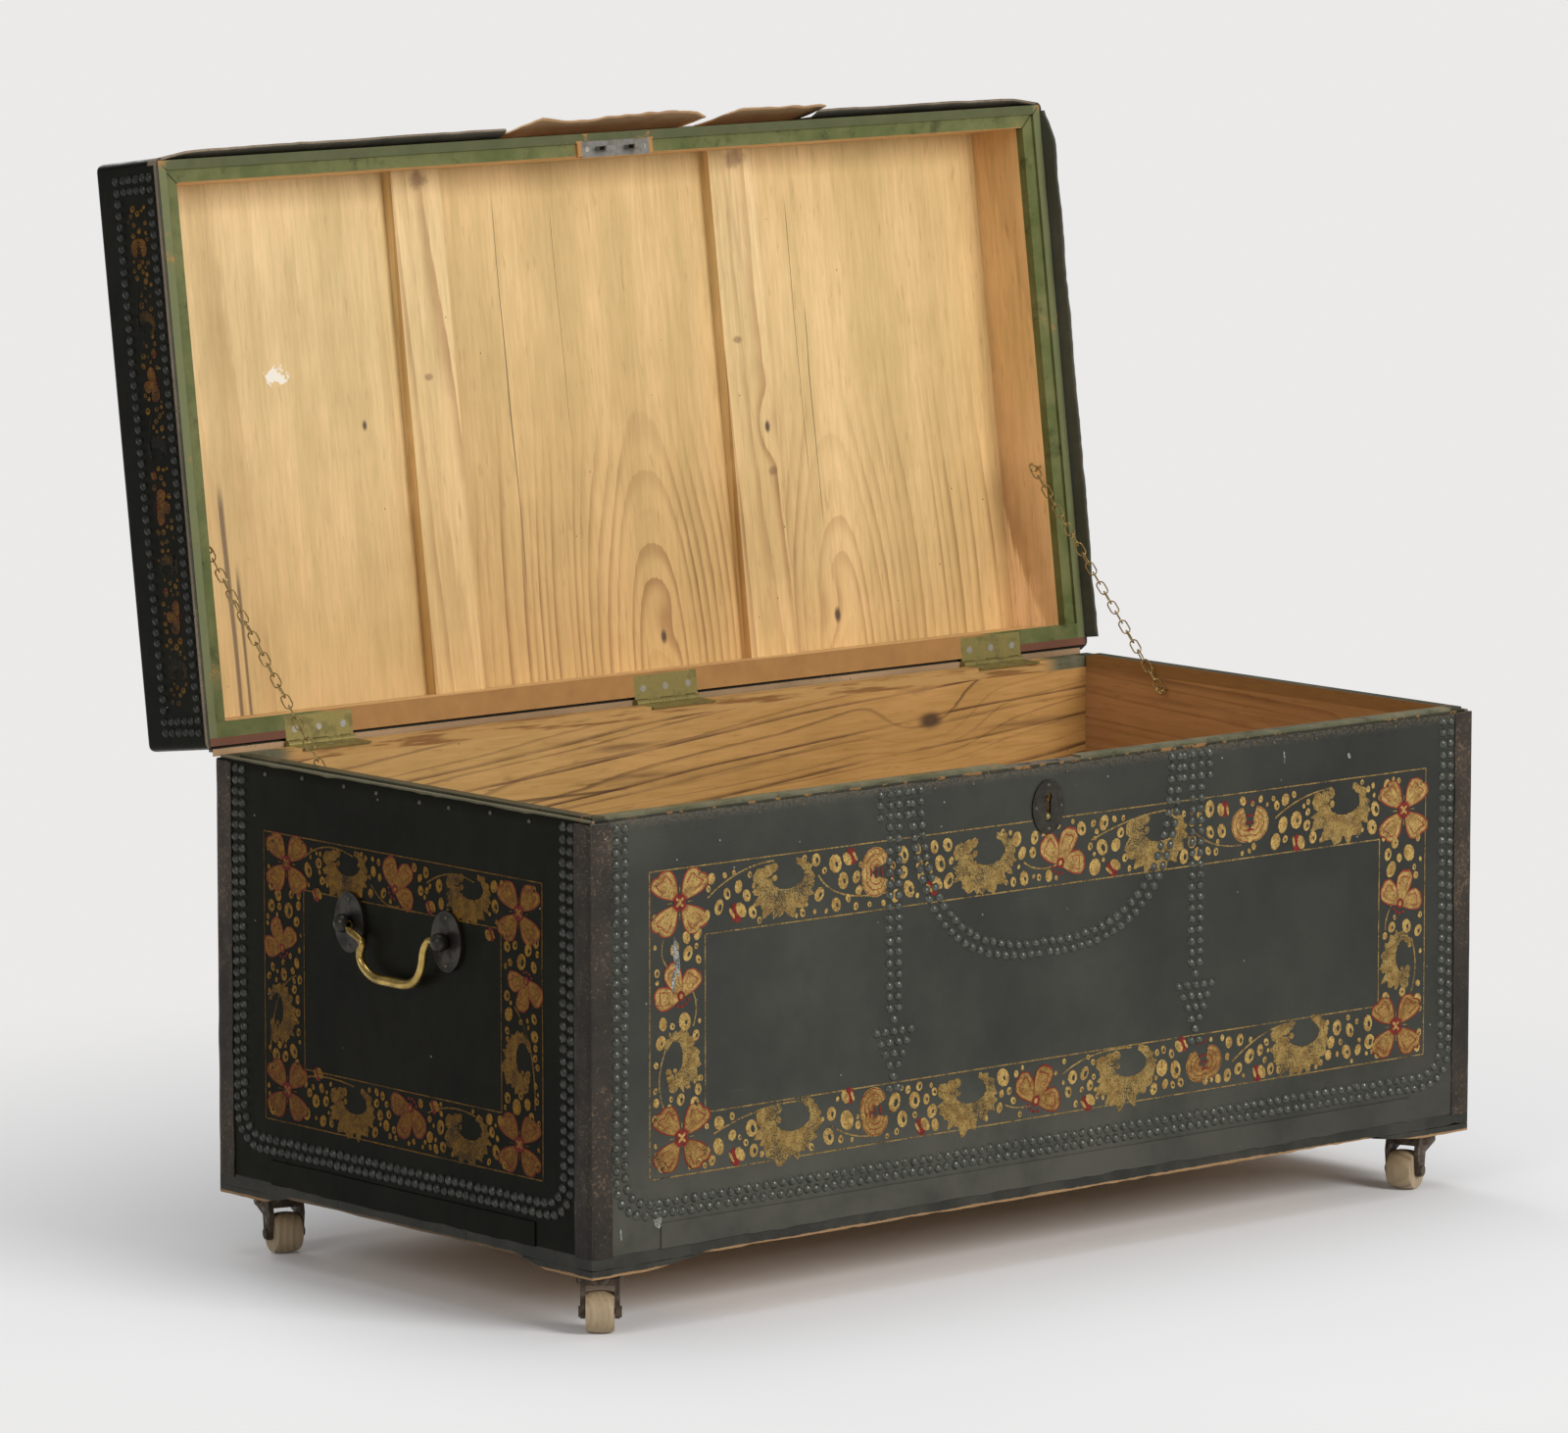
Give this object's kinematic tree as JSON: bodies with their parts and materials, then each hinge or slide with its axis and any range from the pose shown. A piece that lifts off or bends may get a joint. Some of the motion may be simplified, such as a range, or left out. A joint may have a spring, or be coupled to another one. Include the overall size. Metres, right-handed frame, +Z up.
{
  "type": "sea chest",
  "caption": "Leather-covered wooden sea chest with a hinged lid on stay chains, studded and painted front, bail handles on its ends, a rim lock and swivel casters.",
  "frame": {"origin": "on the floor under the middle of the carcass", "axes": "+X along the length to the right seen from the front, +Y from the front to the back, +Z up"},
  "size_m": [1.035, 0.6568, 0.9382],
  "materials": {
    "camphor_wood": "bare, oiled by age",
    "green_wood": "worn green paint",
    "dark_leather": "painted green-black, worn",
    "binding_leather": "worn brown-black",
    "brass": "dull, aged",
    "dark_brass": "blackened with paint and age",
    "steel": "grey, aged",
    "iron": "dark, worn",
    "wheel_wood": "worn hardwood"
  },
  "bodies": {
    "chest": {"front_board": "camphor_wood", "back_board": "camphor_wood", "left_end_board": "camphor_wood", "right_end_board": "camphor_wood", "bottom_plank_front": "camphor_wood", "bottom_plank_middle": "camphor_wood", "bottom_plank_back": "camphor_wood", "corner_blocks": "camphor_wood", "base_rim": "green_wood", "leather_front": "dark_leather", "leather_back": "dark_leather", "leather_left": "dark_leather", "leather_right": "dark_leather", "corner_bindings": "binding_leather", "skirt_strips": "dark_leather", "hinge_base_leaves": "brass", "hinge_base_screws": "brass", "hinge_pins": "brass", "lock_case": "steel", "lock_selvage": "steel", "escutcheon": "dark_brass", "brass_pins": "brass", "left_handle_plates": "dark_brass", "right_handle_plates": "dark_brass", "caster_plates": "iron", "caster_screws": "steel", "left_stay_chain": "brass", "right_stay_chain": "brass", "chain_base_eyes": "brass", "front_studs": "dark_brass", "left_studs": "dark_brass", "right_studs": "dark_brass"},
    "lid": {"lid_front_rail": "camphor_wood", "lid_back_rail": "camphor_wood", "lid_left_rail": "camphor_wood", "lid_right_rail": "camphor_wood", "lid_board_left": "camphor_wood", "lid_board_middle": "camphor_wood", "lid_board_right": "camphor_wood", "lid_battens": "camphor_wood", "lid_rim": "green_wood", "lid_leather": "dark_leather", "lid_end_skirt": "dark_leather", "lid_front_flap": "binding_leather", "hinge_lid_leaves": "brass", "lid_screws": "brass", "strike_plate": "steel", "chain_lid_eyes": "brass", "lid_studs": "dark_brass"},
    "left_bail": {"left_bail": "brass"},
    "right_bail": {"right_bail": "brass"},
    "lock_bolt": {"lock_bolt": "steel"},
    "fork_front_left": {"caster_fork_front_left": "iron"},
    "fork_front_right": {"caster_fork_front_right": "iron"},
    "fork_back_left": {"caster_fork_back_left": "iron"},
    "fork_back_right": {"caster_fork_back_right": "iron"},
    "wheel_front_left": {"caster_wheel_front_left": "wheel_wood"},
    "wheel_front_right": {"caster_wheel_front_right": "wheel_wood"},
    "wheel_back_left": {"caster_wheel_back_left": "wheel_wood"},
    "wheel_back_right": {"caster_wheel_back_right": "wheel_wood"}
  },
  "joints": [
    {"name": "lid_hinge", "type": "hinge", "parent": "chest", "child": "lid", "pos_m": [0, 0.2516, 0.4254], "axis": [1, 0, 0], "range_deg": [0, 97.7], "deforming": ["left_stay_chain", "right_stay_chain"]},
    {"name": "left_bail_swing", "type": "hinge", "parent": "chest", "child": "left_bail", "pos_m": [-0.5095, 0, 0.305], "axis": [0, 1, 0], "range_deg": [-4, 176]},
    {"name": "right_bail_swing", "type": "hinge", "parent": "chest", "child": "right_bail", "pos_m": [0.5095, 0, 0.305], "axis": [0, -1, 0], "range_deg": [-4, 176]},
    {"name": "lock_bolt_slide", "type": "slide", "parent": "chest", "child": "lock_bolt", "axis": [1, 0, 0], "range_m": [0, 0.0075]},
    {"name": "front_left_swivel", "type": "hinge", "parent": "chest", "child": "fork_front_left", "pos_m": [-0.464, -0.215, 0.045], "axis": [0, 0, 1], "continuous": true},
    {"name": "front_left_spin", "type": "hinge", "parent": "fork_front_left", "child": "wheel_front_left", "pos_m": [-0.47253, -0.22481, 0.0175], "axis": [0.7547, -0.6561, 0], "continuous": true},
    {"name": "front_right_swivel", "type": "hinge", "parent": "chest", "child": "fork_front_right", "pos_m": [0.464, -0.215, 0.045], "axis": [0, 0, 1], "continuous": true},
    {"name": "front_right_spin", "type": "hinge", "parent": "fork_front_right", "child": "wheel_front_right", "pos_m": [0.45178, -0.21945, 0.0175], "axis": [0.342, -0.9397, 0], "continuous": true},
    {"name": "back_left_swivel", "type": "hinge", "parent": "chest", "child": "fork_back_left", "pos_m": [-0.464, 0.215, 0.045], "axis": [0, 0, 1], "continuous": true},
    {"name": "back_left_spin", "type": "hinge", "parent": "fork_back_left", "child": "wheel_back_left", "pos_m": [-0.46736, 0.20244, 0.0175], "axis": [0.9659, -0.2588, 0], "continuous": true},
    {"name": "back_right_swivel", "type": "hinge", "parent": "chest", "child": "fork_back_right", "pos_m": [0.464, 0.215, 0.045], "axis": [0, 0, 1], "continuous": true},
    {"name": "back_right_spin", "type": "hinge", "parent": "fork_back_right", "child": "wheel_back_right", "pos_m": [0.45434, 0.2063, 0.0175], "axis": [0.6691, -0.7431, 0], "continuous": true}
  ]
}
